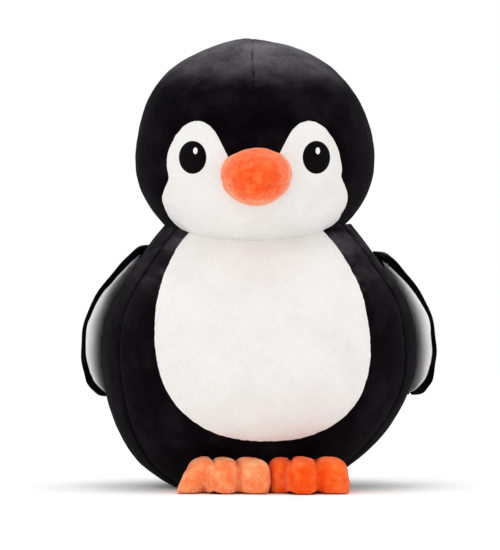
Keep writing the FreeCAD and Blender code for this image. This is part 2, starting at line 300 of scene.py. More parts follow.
def shell(name, verts, outward, faces, thick, material):
    """A panel of fabric: an outer face, an inner face thick millimetres behind it, and its rim."""
    verts, faces, kept = clean(verts, faces)
    outward = outward[kept]
    count = len(verts)
    edges = dict.fromkeys(edge for face in faces for edge in zip(face, face[1:] + face[:1]))
    rim = [(a, b) for a, b in edges if (b, a) not in edges]
    walls = [(b, a, a + count, b + count) for a, b in rim]
    inner = [tuple(v + count for v in reversed(face)) for face in faces]
    verts = np.concatenate([verts, verts - outward * thick])
    return new_object(name, verts, faces + inner + walls, material)


def inflated(points, polygons, held, pressure=4.0):
    """Where fabric goes when its filling pushes on it and the held points stay: Blender's cloth."""
    thing = new_object("bladder", points, polygons, FILL)
    pins = thing.vertex_groups.new(name="held")
    pins.add([int(v) for v in np.flatnonzero(held)], 1.0, "REPLACE")
    cloth = thing.modifiers.new("cloth", "CLOTH")
    settings = cloth.settings
    settings.vertex_group_mass = "held"
    settings.use_pressure = True
    settings.uniform_pressure_force = pressure
    settings.effector_weights.gravity = 0
    for frame_number in range(1, SIM_FRAMES + 1):
        bpy.context.scene.frame_set(frame_number)
    graph = bpy.context.evaluated_depsgraph_get()
    moved = np.array([v.co for v in thing.evaluated_get(graph).data.vertices]) / MM
    bpy.context.scene.frame_set(1)
    bpy.data.objects.remove(thing)
    return moved


class Puff:
    """How far simulated filling pushes each place of a form out, between its seams."""

    def __init__(self, surface, ranges, size, held, swell):
        self.ranges, self.size = ranges, size
        coords, faces = grid(*ranges, *size)
        points = surface(coords[:, 0], coords[:, 1])
        self.out = np.zeros(size[::-1])
        columns, rows = size
        index = np.arange(len(points)).reshape(rows, columns)
        index[:, -1] = index[:, 0]
        flat = index.ravel()
        quads = [tuple(flat[v] for v in face) for face in faces]
        quads += [tuple(index[0, -2::-1]), tuple(index[-1, :-1])]      # the two ends, closed
        moved = inflated(points, quads, held(coords[:, 0], coords[:, 1], points))
        outward = vertex_normals(points, quads[:-2])
        push = np.einsum("ij,ij->i", moved - points, outward)[flat].reshape(rows, columns)
        self.out = np.clip(push / max(np.percentile(np.abs(push), 95), 1e-6), -0.3, 1.2) * swell

    def __call__(self, u, v):
        """Millimetres outwards at surface coordinates."""
        columns, rows = self.size
        (u0, u1), (v0, v1) = self.ranges
        a = np.clip((u - u0) / (u1 - u0) * (columns - 1), 0, columns - 1.001)
        b = np.clip((v - v0) / (v1 - v0) * (rows - 1), 0, rows - 1.001)
        i, j = a.astype(int), b.astype(int)
        s, t = a - i, b - j
        near = self.out[j, i] * (1 - s) + self.out[j, i + 1] * s
        far = self.out[j + 1, i] * (1 - s) + self.out[j + 1, i + 1] * s
        return near * (1 - t) + far * t


def vertex_normals(points, polygons):
    """Outward unit normals at the points of a mesh."""
    out = np.zeros_like(points)
    for polygon in polygons:
        a, b, c = points[polygon[0]], points[polygon[1]], points[polygon[2]]
        normal = np.cross(b - a, c - a)
        for v in polygon:
            out[v] += normal
    return out / np.maximum(np.linalg.norm(out, axis=1, keepdims=True), 1e-9)


def tube(name, paths, radius, material, sides=8):
    """Round threads along paths of points, closed at both ends."""
    verts, faces = [], []
    turn = np.linspace(0, 2 * math.pi, sides, endpoint=False)
    for path in paths:
        path = np.asarray(path, float)
        along = np.gradient(path, axis=0)
        along /= np.linalg.norm(along, axis=1, keepdims=True)
        side = np.cross(along, (0.13, 0.21, 0.97))
        side /= np.linalg.norm(side, axis=1, keepdims=True)
        up = np.cross(side, along)
        base = len(verts)
        thin_ends = np.sin(np.linspace(0.25, math.pi - 0.25, len(path))) ** 0.4
        for point, s, u, fade in zip(path, side, up, thin_ends):
            verts += [point + radius * fade * (s * math.cos(t) + u * math.sin(t)) for t in turn]
        corners = ring_corners(len(path) - 1, sides)
        faces += [(base + a, base + b, base + d, base + c) for a, b, c, d in corners]
        last = base + (len(path) - 1) * sides
        faces += [tuple(range(base + sides - 1, base - 1, -1)), tuple(range(last, last + sides))]
    return new_object(name, verts, faces, material)


def finish_piece(nodes):
    """Hides the CAD parts that a piece replaces."""
    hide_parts(*nodes)


# ---------------- materials
def ramp(nodes, stops):
    """Colours at places from 0 to 1."""
    node = nodes.new("ShaderNodeValToRGB")
    elements = node.color_ramp.elements
    while len(elements) < len(stops):
        elements.new(0.5)
    for element, (place, color) in zip(elements, stops):
        element.position = place
        element.color = (*color, 1)
    return node


def noise_node(nodes, links, where, scale, detail, rough):
    node = nodes.new("ShaderNodeTexNoise")
    node.inputs["Scale"].default_value = scale
    node.inputs["Detail"].default_value = detail
    node.inputs["Roughness"].default_value = rough
    links.new(where, node.inputs["Vector"])
    return node.outputs["Fac"]


def mix(nodes, links, kind, amount, first, second):
    node = nodes.new("ShaderNodeMix")
    node.data_type, node.blend_type = "RGBA", kind
    if isinstance(amount, float):
        node.inputs["Factor"].default_value = amount
    else:
        links.new(amount, node.inputs["Factor"])
    links.new(first, node.inputs["A"])
    links.new(second, node.inputs["B"])
    return node.outputs["Result"]


def plush(name, deep, middle, light, sheen=0.3, tint=(1, 1, 1), brushed=45,
          contrast=(0.35, 0.65), bump=0.5, tufted=0.8, crown=None):
    """Short pile: tufts about a millimetre across that lean in brushed patches. With a crown
    colour, it is painted that much paler where it faces up: painted sheen, as from a light above."""
    material = bpy.data.materials.new(name)
    material.use_nodes = True
    nodes, links = material.node_tree.nodes, material.node_tree.links
    shader = nodes["Principled BSDF"]
    where = nodes.new("ShaderNodeTexCoord").outputs["Object"]
    patches = noise_node(nodes, links, where, brushed, 4, 0.62)
    tufts = noise_node(nodes, links, where, 620, 2, 0.7)
    low, high = contrast
    tones = ramp(nodes, [(low, deep), (0.5, middle), (high, light)])
    links.new(patches, tones.inputs["Fac"])
    shade = ramp(nodes, [(0.3, (0.62, 0.62, 0.62)), (0.6, (1, 1, 1))])
    links.new(tufts, shade.inputs["Fac"])
    color = tones.outputs["Color"]
    # Painted sheen: where the pile faces up, its colour turns towards the crown colour, more in the
    # brushed patches, standing in for a light from above.
    if crown:
        upright = nodes.new("ShaderNodeSeparateXYZ")
        links.new(nodes.new("ShaderNodeNewGeometry").outputs["Normal"], upright.inputs["Vector"])
        facing = nodes.new("ShaderNodeMapRange")
        facing.interpolation_type = "SMOOTHSTEP"
        facing.inputs["From Min"].default_value = 0.5
        facing.inputs["From Max"].default_value = 1.05
        links.new(upright.outputs["Z"], facing.inputs["Value"])
        painted_sheen = ramp(nodes, [(0.3, tuple(c * 0.35 for c in crown)), (0.7, crown)])
        links.new(patches, painted_sheen.inputs["Fac"])
        color = mix(nodes, links, "MIX", facing.outputs["Result"], color, painted_sheen.outputs["Color"])
    color = mix(nodes, links, "MULTIPLY", tufted, color, shade.outputs["Color"])
    links.new(color, shader.inputs["Base Color"])
    shader.inputs["Roughness"].default_value = 0.95
    shader.inputs["Specular IOR Level"].default_value = 0.02
    shader.inputs["Sheen Weight"].default_value = sheen
    shader.inputs["Sheen Roughness"].default_value = 0.45
    shader.inputs["Sheen Tint"].default_value = (*tint, 1)
    height = nodes.new("ShaderNodeMath")
    height.operation = "MULTIPLY_ADD"
    links.new(patches, height.inputs[0])
    height.inputs[1].default_value = 0.7
    links.new(tufts, height.inputs[2])
    relief = nodes.new("ShaderNodeBump")
    relief.inputs["Strength"].default_value = bump
    relief.inputs["Distance"].default_value = 0.0008
    links.new(height.outputs[0], relief.inputs["Height"])
    links.new(relief.outputs["Normal"], shader.inputs["Normal"])
    return material


def threads(name, dark, light, pitch=0.45, rough=0.5, specular=0.4):
    """Satin stitch: close upright threads with a soft shine."""
    material = bpy.data.materials.new(name)
    material.use_nodes = True
    nodes, links = material.node_tree.nodes, material.node_tree.links
    shader = nodes["Principled BSDF"]
    where = nodes.new("ShaderNodeTexCoord").outputs["Object"]
    wave = nodes.new("ShaderNodeTexWave")
    wave.bands_direction = "X"
    wave.inputs["Scale"].default_value = 0.314 / (pitch * MM)
    wave.inputs["Distortion"].default_value = 0.6
    wave.inputs["Detail"].default_value = 2
    links.new(where, wave.inputs["Vector"])
    tones = ramp(nodes, [(0.1, dark), (0.8, light)])
    links.new(wave.outputs["Fac"], tones.inputs["Fac"])
    links.new(tones.outputs["Color"], shader.inputs["Base Color"])
    shader.inputs["Roughness"].default_value = rough
    shader.inputs["Specular IOR Level"].default_value = specular
    relief = nodes.new("ShaderNodeBump")
    relief.inputs["Strength"].default_value = 0.5
    relief.inputs["Distance"].default_value = 0.0002
    links.new(wave.outputs["Fac"], relief.inputs["Height"])
    links.new(relief.outputs["Normal"], shader.inputs["Normal"])
    return material


# The black pile's crown colour is painted sheen: tops that face up, such as the head's crown, are
# painted paler.
BLACK = plush(
    "black_pile", (0.0016, 0.0011, 0.0017), (0.0034, 0.0024, 0.0036), (0.0072, 0.006, 0.008),
    sheen=0.015, crown=(0.19, 0.176, 0.2),
)
WHITE = plush(
    "white_pile", (0.775, 0.76, 0.738), (0.8, 0.785, 0.763), (0.82, 0.808, 0.785),
    sheen=0.06, bump=0.25, tufted=0.15,
)
# The lining is the white pile made paler: painted light that lifts it out of the shade between
# flipper and body.
LINING_PAINTED_LIGHT = plush(
    "lining_pile_painted_light", (0.9, 0.895, 0.885), (0.93, 0.925, 0.915), (0.95, 0.945, 0.94),
    sheen=0.2, bump=0.25, tufted=0.15,
)
ORANGE = plush(
    "orange_pile", (0.9, 0.07, 0.009), (0.94, 0.104, 0.016), (0.97, 0.18, 0.042),
    sheen=0.9, tint=(1, 0.8, 0.56), brushed=190, contrast=(0.34, 0.66), tufted=0.4,
)
# Two copies of one orange pile for the feet: a deeper one on the right foot is painted shade, and a
# paler one on the left foot is painted light.
ORANGE_PAINTED_SHADE = plush(
    "orange_pile_painted_shade", (0.9, 0.075, 0.006), (0.95, 0.11, 0.014), (0.97, 0.19, 0.045),
    sheen=0.2, tint=(1, 0.7, 0.5), brushed=85, tufted=0.35,
)
ORANGE_PAINTED_LIGHT = plush(
    "orange_pile_painted_light", (0.94, 0.19, 0.06), (0.97, 0.28, 0.105), (0.99, 0.42, 0.2),
    sheen=0.3, tint=(1, 0.75, 0.6), brushed=100, tufted=0.35,
)
FOOT_PAINTED_LIGHT_AND_SHADE = {"left": ORANGE_PAINTED_LIGHT, "right": ORANGE_PAINTED_SHADE}
FILL = plush(
    "fibre_fill", (0.7, 0.7, 0.68), (0.82, 0.82, 0.8), (0.9, 0.9, 0.88), brushed=90, bump=1.0
)
EYE_BLACK = threads(
    "eye_embroidery", (0.001, 0.0008, 0.001), (0.003, 0.002, 0.003), rough=0.6, specular=0.04
)
EYE_WHITE = threads("highlight_embroidery", (0.8, 0.8, 0.8), (0.97, 0.97, 0.97), pitch=0.4)
BLACK_THREAD = threads("black_thread", (0.003, 0.003, 0.003), (0.02, 0.02, 0.02), pitch=0.5)
ORANGE_THREAD = threads("orange_thread", (0.45, 0.05, 0.012), (0.7, 0.1, 0.03), pitch=0.5)


# ---------------- head and torso skins
CREASE_WIDE, PULL_WIDE = 1.6, 9         # a seam's sharp groove, and the hollow round it
SIDE_CREASE = (1.0, 0.5)                # depths of groove and hollow: side and ear seams
BACK_CREASE = (0.8, 0.4)                # middle of the back
PATCH_CREASE = (0.5, 0.3)               # round the white patches
BROW_CREASE = (0.6, 0.0)                # middle of the forehead
FAR = 1e3


def sewn(surface, coords, seams, puff):
    """Points and normals of filled fabric; seams gives (distance, groove depth, hollow depth)."""
    az, tilt = coords[:, 0], coords[:, 1]
    base, outward = surface(az, tilt), normals(surface, az, tilt)
    groove = np.zeros(len(coords))
    for distance, crease, pull in seams:
        hollow = pull * bell(distance, 0, PULL_WIDE)
        groove = np.maximum(groove, crease * bell(distance, 0, CREASE_WIDE) + hollow)
    nearest = np.min(np.stack([seam[0] for seam in seams]), 0)
    pucker = 0.3 * wobble(base, 5.5, 3) * bell(nearest, 0, 5)
    lumps = 0.7 * wobble(base, 34, 1) + 0.2 * wobble(base, 9, 2) + 0.08 * wobble(base, 2.6, 4)
    return base + outward * (puff(az, tilt) + lumps + pucker - groove)[:, None], outward


def meridian(surface, coords, where):
    """Distance to an upright seam."""
    az, tilt = coords[:, 0], coords[:, 1]
    radius = np.linalg.norm(surface(az, tilt)[:, :2], axis=1)
    return radius * np.abs(az - where)


def front_skins(surface, seam, tilts, size, outline, middle_seam, puff):
    """The front between two side seams, cut into the white patch and what is round it."""
    coords, faces = grid((-seam, seam), tilts, *size)
    place = surface(coords[:, 0], coords[:, 1])
    ragged = signed_distance(place[:, [0, 2]], outline) + 0.35 * wobble(place, 2.8, 7)
    coords, patch, rest = cut_along(coords, faces, ragged)
    place = surface(coords[:, 0], coords[:, 1])
    edge = signed_distance(place[:, [0, 2]], outline)
    seams = [(np.abs(edge), *PATCH_CREASE)]
    seams += [(meridian(surface, coords, s * seam), *SIDE_CREASE) for s in (-1, 1)]
    if middle_seam:
        middle = np.where(edge > -0.5, meridian(surface, coords, 0) * 1.8, FAR)
        seams.append((middle, *BROW_CREASE))
    points, outward = sewn(surface, coords, seams, puff)
    return coords, points, outward, patch, rest


def rear_skin(surface, seam, side, tilts, size, puff):
    """One back panel, from a side seam to the middle of the back."""
    ends = (seam, math.pi) if side > 0 else (-math.pi, -seam)
    coords, faces = grid(ends, tilts, *size)
    seams = [(meridian(surface, coords, s * seam), *SIDE_CREASE) for s in (-1, 1)]
    seams += [(meridian(surface, coords, s * math.pi), *BACK_CREASE) for s in (-1, 1)]
    return *sewn(surface, coords, seams, puff), faces


def body_puff(surface, seam, tilts, outline, swell):
    """Filling pushes the panels out between the side seams, the back seam and the white patch."""

    def held(az, tilt, points):
        coords = np.stack([az, tilt], -1)
        near = [meridian(surface, coords, s * seam) for s in (-1, 1)]
        near += [meridian(surface, coords, s * math.pi) for s in (-1, 1)]
        edge = np.abs(signed_distance(points[:, [0, 2]], outline))
        near.append(np.where(points[:, 1] < 0, edge, FAR))
        return (np.min(np.stack(near), 0) < 3.0) | (tilt < tilts[0] + 0.1)

    return Puff(surface, ((-math.pi, math.pi), tilts), (121, 61), held, swell)


def blend_head(piece):
    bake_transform(piece)


def blend_torso(piece):
    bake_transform(piece)


HEAD_PUFF, TORSO_PUFF = 1.2, 1.8
HEAD_TILTS = (-1.15, math.pi / 2)
puff = body_puff(head, EAR_SEAM, (HEAD_TILTS[0], 1.56), face_outline(), HEAD_PUFF)
coords, points, outward, patch, rest = front_skins(
    head, EAR_SEAM, HEAD_TILTS, (161, 121), face_outline(), True, puff
)
face = shell("face_panel_cloth", points, outward, patch, PANEL, WHITE)
finish_piece(["face_panel"])
blend_head(face)
head_front = BVHTree.FromPolygons([tuple(p) for p in points], patch + rest)
for side, sign in SIDES.items():
    half = [f for f in rest if sign * np.mean([coords[v][0] for v in f]) > 0]
    panel = shell(f"head_front_{side}_cloth", points, outward, half, PANEL, BLACK)
    finish_piece([f"head_front_{side}"])
    blend_head(panel)
    rear = rear_skin(head, EAR_SEAM, sign, HEAD_TILTS, (75, 121), puff)
    panel = shell(f"head_back_{side}_cloth", *rear, PANEL, BLACK)
    finish_piece([f"head_back_{side}"])
    blend_head(panel)

TORSO_TILTS = (-1.094, torso_tilt(172))
puff = body_puff(torso, SIDE_SEAM, TORSO_TILTS, belly_outline(), TORSO_PUFF)
coords, points, outward, patch, rest = front_skins(
    torso, SIDE_SEAM, TORSO_TILTS, (151, 141), belly_outline(), False, puff
)
belly = shell("belly_panel_cloth", points, outward, patch, PANEL, WHITE)
finish_piece(["belly_panel"])
blend_torso(belly)
coat = shell("body_front_cloth", points, outward, rest, PANEL, BLACK)
finish_piece(["body_front_panel"])
blend_torso(coat)
for side, sign in SIDES.items():
    rear = rear_skin(torso, SIDE_SEAM, sign, TORSO_TILTS, (131, 141), puff)
    panel = shell(f"body_back_{side}_cloth", *rear, PANEL, BLACK)
    finish_piece([f"body_back_{side}"])
    blend_torso(panel)


def base_panel():
    """The round panel underneath, pulled in a little where it is sewn to the coat."""
    rings, spokes = 14, 96
    turn = np.linspace(-math.pi, math.pi, spokes, endpoint=False)
    edge = torso(turn, np.full(spokes, TORSO_TILTS[0]))
    middle = edge.mean(0)
    shares = [max(1 - ring / rings, 1e-6) for ring in range(rings + 1)]
    verts = np.concatenate([middle + (edge - middle) * share for share in shares])
    share = np.linalg.norm(verts[:, :2] - middle[:2], axis=1) / TORSO_WIDE
    verts[:, 2] = 0.1 + 0.5 * share + 0.15 * wobble(verts, 6, 8)
    faces = [(a, c, d, b) for a, b, c, d in ring_corners(rings, spokes)]
    down = np.tile((0.0, 0.0, -1.0), (len(verts), 1))
    return shell("base_panel_cloth", verts, down, faces, PILE * 0.6, BLACK)


base = base_panel()
finish_piece(["base_panel"])
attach(base, "torso")


# ---------------- stuffing
def ball(name, surface, tilts, depth, seed, columns=72, rows=56):
    """A lumpy closed ball of fibre, a depth behind a surface."""
    coords, faces = grid((-math.pi, math.pi), tilts, columns, rows)
    base_points = surface(coords[:, 0], coords[:, 1])
    out = normals(surface, coords[:, 0], coords[:, 1])
    first, last = (np.isclose(coords[:, 0], end) for end in (-math.pi, math.pi))
    lumps = wobble(base_points, 14, seed)
    lumps[last] = lumps[first]
    points = base_points - out * (depth - 0.8 * lumps)[:, None]
    points[last] = points[first]
    low, high = points[:columns].mean(0), points[-columns:].mean(0)
    verts = list(points) + [low, high]
    count = len(points)
    faces += [(k + 1, k, count) for k in range(columns - 1)]
    top = count - columns
    faces += [(top + k, top + k + 1, count + 1) for k in range(columns - 1)]
    verts, faces, _ = clean(verts, faces)
    return new_object(name, verts, faces, FILL)


head_fill = ball("head_fill", head, (-1.2, math.pi / 2 - 0.02), 5.5, 5)
finish_piece(["head_stuffing"])
blend_head(head_fill)
body_fill = ball("body_fill", torso, (-1.03, torso_tilt(158)), 6.0, 6)
finish_piece(["body_stuffing"])
blend_torso(body_fill)


# ---------------- eyes
def on_surface(tree, x, z):
    """The front surface's point and normal behind a place seen from the front."""
    point, normal, _, _ = tree.ray_cast(Vector((x, -300, z)), Vector((0, 1, 0)))
    if normal.y > 0:
        normal = -normal
    return np.array(point), np.array(normal)


def oval_patch(name, tree, x, z, wide, tall, raised, material, rings=10, spokes=48):
    """A domed embroidered oval that lies on a surface."""
    middle_normal = on_surface(tree, x, z)[1]
    verts, outward = [], []
    for ring in range(rings + 1):
        reach = ring / rings
        for spoke in range(spokes):
            turn = 2 * math.pi * spoke / spokes
            across, up = wide * reach * math.cos(turn), tall * reach * math.sin(turn)
            point, _ = on_surface(tree, x + across, z + up)
            verts.append(point + middle_normal * raised * (1 - reach ** 6))
            outward.append(middle_normal)
    faces = [(a, c, d, b) for a, b, c, d in ring_corners(rings, spokes)]
    return shell(name, np.array(verts), np.array(outward), faces, 0.8 + raised * 0.5, material)


EYE_OUT, EYE_LEFT, EYE_LEVEL = 39.8, 0.4, 215.0
EYE_WIDE, EYE_TALL, EYE_RAISED = 8.9, 10.6, 0.9
GLINT_RIGHT, GLINT_INWARDS, GLINT_UP = 0.95, 0.45, 4.2
GLINT_WIDE, GLINT_TALL, GLINT_RAISED = 1.45, 2.2, 0.4
for side, sign in SIDES.items():
    eye = oval_patch(f"eye_{side}_stitching", head_front, sign * EYE_OUT - EYE_LEFT, EYE_LEVEL,
                     EYE_WIDE, EYE_TALL, EYE_RAISED, EYE_BLACK)
    finish_piece([f"eye_{side}"])
    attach(eye, "head")
    tree = BVHTree.FromPolygons([tuple(v.co / MM) for v in eye.data.vertices],
                                [tuple(p.vertices) for p in eye.data.polygons])
    across = sign * EYE_OUT + GLINT_RIGHT - GLINT_INWARDS * sign
    glint = oval_patch(f"eye_highlight_{side}_stitching", tree, across, EYE_LEVEL + GLINT_UP,
                       GLINT_WIDE, GLINT_TALL, GLINT_RAISED, EYE_WHITE, rings=5, spokes=24)
    finish_piece([f"eye_highlight_{side}"])
    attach(glint, "head")


# ---------------- beak
BEAK_ASIDE, BEAK_LEVEL, BEAK_ROOT = 0.6, 204.3, -67.0
BEAK_WIDE, BEAK_UP, BEAK_DOWN, BEAK_LONG = 23.6, 17.9, 20.5, 34.0
BEAK_DROOP = 3.5                # how far the tip hangs
MOUTH_DROP = 5.0                # the beak's seam runs below its widest level
BEAK_PANEL, BEAK_SKIN = 1.8, 3.5        # the panels' thickness, and how far in the filling starts


def droop(reach):
    """How far the beak hangs, from 0 at the face to its full droop at the tip."""
    return BEAK_DROOP * np.sin(reach * math.pi / 2) ** 2


def beak_surface(turn, reach, inset=0.0):
    """turn goes round the beak from its right corner; reach from 0 at the face to 1 at the tip."""
    wide, long = BEAK_WIDE - inset, BEAK_LONG - inset
    tall = np.where(np.sin(turn) > 0, BEAK_UP, BEAK_DOWN) - inset
    lean = reach * math.pi / 2
    out = np.clip(np.cos(lean), 0, 1) ** 0.9
    return np.stack([
        BEAK_ASIDE + wide * out * np.cos(turn),
        BEAK_ROOT - long * np.sign(lean) * np.abs(np.sin(lean)) ** 0.95,
        BEAK_LEVEL + tall * out * np.sin(turn) - droop(reach),
    ], -1)


def beak_skins():
    """Upper and lower beak, cut along the seam, which is pulled in at the sides."""
    coords, faces = grid((0, 2 * math.pi), (-0.12, 1.0), 129, 45)

    def above_mouth(points, reach):
        return points[:, 2] - (BEAK_LEVEL - MOUTH_DROP - droop(np.clip(reach, 0, 1)))

    uncut = beak_surface(coords[:, 0], coords[:, 1])
    coords, lower, upper = cut_along(coords, faces, above_mouth(uncut, coords[:, 1]))
    turn, reach = coords[:, 0], coords[:, 1]
    points = beak_surface(turn, reach)
    sideways = beak_surface(turn + 0.01, reach) - points
    out = np.cross(sideways, beak_surface(turn, reach + 0.01) - points)
    out /= np.maximum(np.linalg.norm(out, axis=1, keepdims=True), 1e-9)
    out[reach > 0.98] = (0, -1, 0)
    groove = 0.5 * bell(above_mouth(points, reach), 0, 1.3)
    lumps = 0.6 * wobble(points, 9, 11) + 0.25 * wobble(points, 3.2, 12)
    return points + out * (lumps - groove)[:, None], out, lower, upper


points, outward, lower, upper = beak_skins()
for part, faces in (("upper", upper), ("lower", lower)):
    piece = shell(f"beak_{part}_cloth", points, outward, faces, BEAK_PANEL, ORANGE)
    finish_piece([f"beak_{part}"])
    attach(piece, "head")
coords, faces = grid((0, 2 * math.pi), (0.02, 0.98), 33, 17)
verts, faces, _ = clean(beak_surface(coords[:, 0], coords[:, 1], BEAK_SKIN), faces)
beak_fill = new_object("beak_fill", verts, faces, FILL)
finish_piece(["beak_stuffing"])
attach(beak_fill, "head")


# ---------------- neck
def neck_wad():
    """The firm wad that carries the head: a lumpy barrel."""
    low, high = cad_box("neck_stuffing")
    rings, spokes = 14, 48
    turn = np.linspace(0, 2 * math.pi, spokes, endpoint=False)
    verts = []
    for rise in np.linspace(0, math.pi, rings + 1):
        radius = high[0] * np.sin(rise) ** 0.35 if 0 < rise < math.pi else 0
        z = (low[2] + high[2]) / 2 - (high[2] - low[2]) / 2 * math.cos(rise)
        verts += [(radius * math.cos(t), radius * math.sin(t), z) for t in turn]
    verts = np.array(verts)
    verts[:, :2] *= (1 - 0.03 * np.abs(wobble(verts, 9, 9)))[:, None]
    faces = [(a, b, d, c) for a, b, c, d in ring_corners(rings, spokes)]
    verts, faces, _ = clean(verts, faces)
    return new_object("neck_fill", verts, faces, FILL)


neck = neck_wad()
finish_piece(["neck_stuffing"])
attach(neck, "neck")


# ---------------- flippers
# By side: middle level, half height, and how blunt the ends are, blunter towards 0.
FLIPPERS = {-1: (108.0, 48.5, 0.3), 1: (106.3, 46.0, 0.15)}
# Behind the side of the body: the root, and at mid height the front and rear edges.
FLIPPER_ROOT, FLIPPER_FRONT, FLIPPER_REAR = (math.radians(a) for a in (14, -1, 32))
FLIPPER_GAP, FLIPPER_FLARE = 4.2, 8.8   # off the body, and how much more the front edge stands out
FLIPPER_OUTSIDE, FLIPPER_INSIDE = 3.0, 3.0      # half thicknesses
FLIPPER_PANEL, FLIPPER_SKIN = 1.2, 2.0  # the panels' thickness, and how far in the wadding starts
LINING_FRONT, LINING_REAR = 0.975, 0.8  # how near the lining comes to the leaf's edges, from 0 to 1
LINING_MIDDLE, LINING_HALF = 0.56, 0.405        # and where it lies along the leaf


def torso_radius(height):
    """The body's radius at a height, before it is tucked in or slumps."""
    share = (height - TORSO_LEVEL) / np.where(height > TORSO_LEVEL, TORSO_RISE, TORSO_DROP)
    tilt = np.arcsin(np.clip(share, -1, 1))
    return TORSO_WIDE * np.cos(tilt) * (1 - hump(height, WAIST))


def flipper(sign, along, turn, inset=0.0):
    """A leaf from its root, along 0, to its tip, 1; turn goes round it from the front edge."""
    ahead = (1 + np.cos(turn)) / 2
    level, tall, blunt = FLIPPERS[sign]
    height = level + tall * np.cos(math.pi * along)
    spread = np.sin(math.pi * np.clip(along, 0, 1) ** 1.4)
    around = FLIPPER_FRONT + (FLIPPER_REAR - FLIPPER_FRONT) * (1 - ahead) ** 2 - FLIPPER_ROOT
    az = math.pi / 2 + FLIPPER_ROOT + spread ** 0.5 * around * (1 - inset / 12)
    ripple = 1 + 0.03 * np.sin(along * 41 + sign)
    at_tip = np.clip(along * 5 - 4, 0, 1)
    flare = FLIPPER_FLARE * ahead ** 3.4 * ripple * (1 - 0.5 * at_tip)
    lift = (FLIPPER_GAP + flare) * spread ** blunt
    padded = np.where(np.sin(turn) < 0, FLIPPER_INSIDE + 1.4 * ahead, FLIPPER_OUTSIDE - ahead)
    thick = (padded - inset) * spread ** 0.5 * rounded(turn, 0.8)
    radius = torso_radius(height) + lift + thick
    return np.stack([sign * radius * np.sin(az) + BODY_OUT, -radius * np.cos(az), height], -1)


def flipper_skins(side, sign):
    """Black outside that wraps round the edge, and a white lining on the side near the body."""
    coords, faces = grid((0.004, 0.996), (0, 2 * math.pi), 97, 65)
    along, turn = coords[:, 0], coords[:, 1]

    def lining_field(along, turn):
        """Negative on the lining, and very roughly the millimetres from its edge."""
        reach = np.where(np.cos(turn) > 0, LINING_FRONT, LINING_REAR)
        lengthways = (along - LINING_MIDDLE) / LINING_HALF
        oval = (np.cos(turn) / reach) ** 2 + lengthways ** 2 - 1
        return np.maximum(oval, np.sin(turn) + 0.12) * 12

    coords, lining, outer = cut_along(coords, faces, lining_field(along, turn))
    along, turn = coords[:, 0], coords[:, 1]
    points = flipper(sign, along, turn)
    lengthways = flipper(sign, along + 0.004, turn) - points
    out = np.cross(lengthways, flipper(sign, along, turn + 0.01) - points)
    out *= sign / np.maximum(np.linalg.norm(out, axis=1, keepdims=True), 1e-9)
    groove = 0.7 * bell(lining_field(along, turn), 0, 1.2)
    lumps = 0.8 * wobble(points, 24, 21 + sign) + 0.25 * wobble(points, 7, 22)
    points = points + out * (lumps - groove)[:, None]
    # The inner lining's white is painted light, paler than the face's white.
    for part, faces, material, slot in (
        ("outer", outer, BLACK, "black_plush"), ("inner", lining, LINING_PAINTED_LIGHT, "white_plush"),
    ):
        faces = faces if sign > 0 else [tuple(reversed(f)) for f in faces]
        piece = shell(f"flipper_{side}_{part}_cloth", points, out, faces, FLIPPER_PANEL, material)
        finish_piece([f"flipper_{side}_{part}"])
        blend_flipper(piece)
    coords, faces = grid((0.17, 0.82), (0, 2 * math.pi), 33, 17)
    verts, faces, _ = clean(flipper(sign, coords[:, 0], coords[:, 1], FLIPPER_SKIN), faces)
    wadding = new_object(f"flipper_{side}_fill", verts, faces, FILL)
    finish_piece([f"flipper_{side}_wadding"])
    blend_flipper(wadding)


def blend_flipper(piece):
    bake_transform(piece)


for side, sign in SIDES.items():
    flipper_skins(side, sign)


# ---------------- feet
# Each toe: its middle at the root and at the tip, half its width, its tip's Y, and how much it
# spreads sideways towards the ground.
FEET = {
    "left": [(-34, -31, 9.3, -96, -14), (-23, -19.5, 11.2, -101, -1), (-10, 1.2, 11.4, -101, 0)],
    "right": [(17, 17.2, 8.8, -91, 0), (29, 30.5, 11.4, -108, 0), (45, 49, 11.0, -101, 3.5)],
}
TOE_LEVEL, TOE_TALL, FOOT_HEEL = 9.0, 13.7, -54.0
FOOT_PUSH = 1.8                 # the most that filling pushes a foot's fabric
FOOT_FLAT = 1.5                 # below this the sole rests on the ground
FOOT_HELD, CREASE_START, TOE_FRONT = -70, -66, -86      # Y of places along a foot
FOOT_PANEL, FOOT_SKIN = 1.5, 3.5        # the panels' thickness, and how far in the filling starts
CREASE_DEEP, CREASE_RISE = 1.8, 1.3     # between the toes, and where it climbs over their front


def blob(middle, radii, power=1.0, columns=40, rows=24):
    """A ball, or a squarer pad with a power below 1."""
    coords, faces = grid((0, 2 * math.pi), (-math.pi / 2, math.pi / 2), columns + 1, rows + 1)
    az, tilt = coords[:, 0], coords[:, 1]
    flat = np.abs(np.cos(tilt)) ** power
    verts = np.stack([
        radii[0] * flat * rounded(az, power),
        radii[1] * flat * rounded(az + math.pi / 2, power),
        radii[2] * rounded(tilt, power),
    ], -1)
    verts, faces, _ = clean(verts, faces)
    return verts + np.array(middle), faces


def toe(root, tip, half, front, spread, inset=0.0):
    """A squarish toe from the heel line to its front, leaning from its root to its tip."""
    long = (FOOT_HEEL - front) / 2 - inset
    middle = (FOOT_HEEL + front) / 2
    radii = (half - inset, long, TOE_TALL - inset)
    verts, faces = blob((0, middle, TOE_LEVEL), radii, 0.64)
    ahead = (FOOT_HEEL - verts[:, 1]) / (FOOT_HEEL - front)
    verts[:, 0] += root + (tip - root) * ahead + spread * (1 - verts[:, 2] / 22) * ahead
    return verts, faces


def creases(side):
    """Lines between neighbouring toes, as (X at the root, X at the tip, Y of the tip)."""
    lines = []
    for one, other in zip(FEET[side], FEET[side][1:]):
        root, tip, half, front, _ = one
        next_root, next_tip, next_half, next_front, _ = other
        between = (tip + half + next_tip - next_half) / 2
        lines.append(((root + next_root) / 2, between, max(front, next_front)))
    return lines


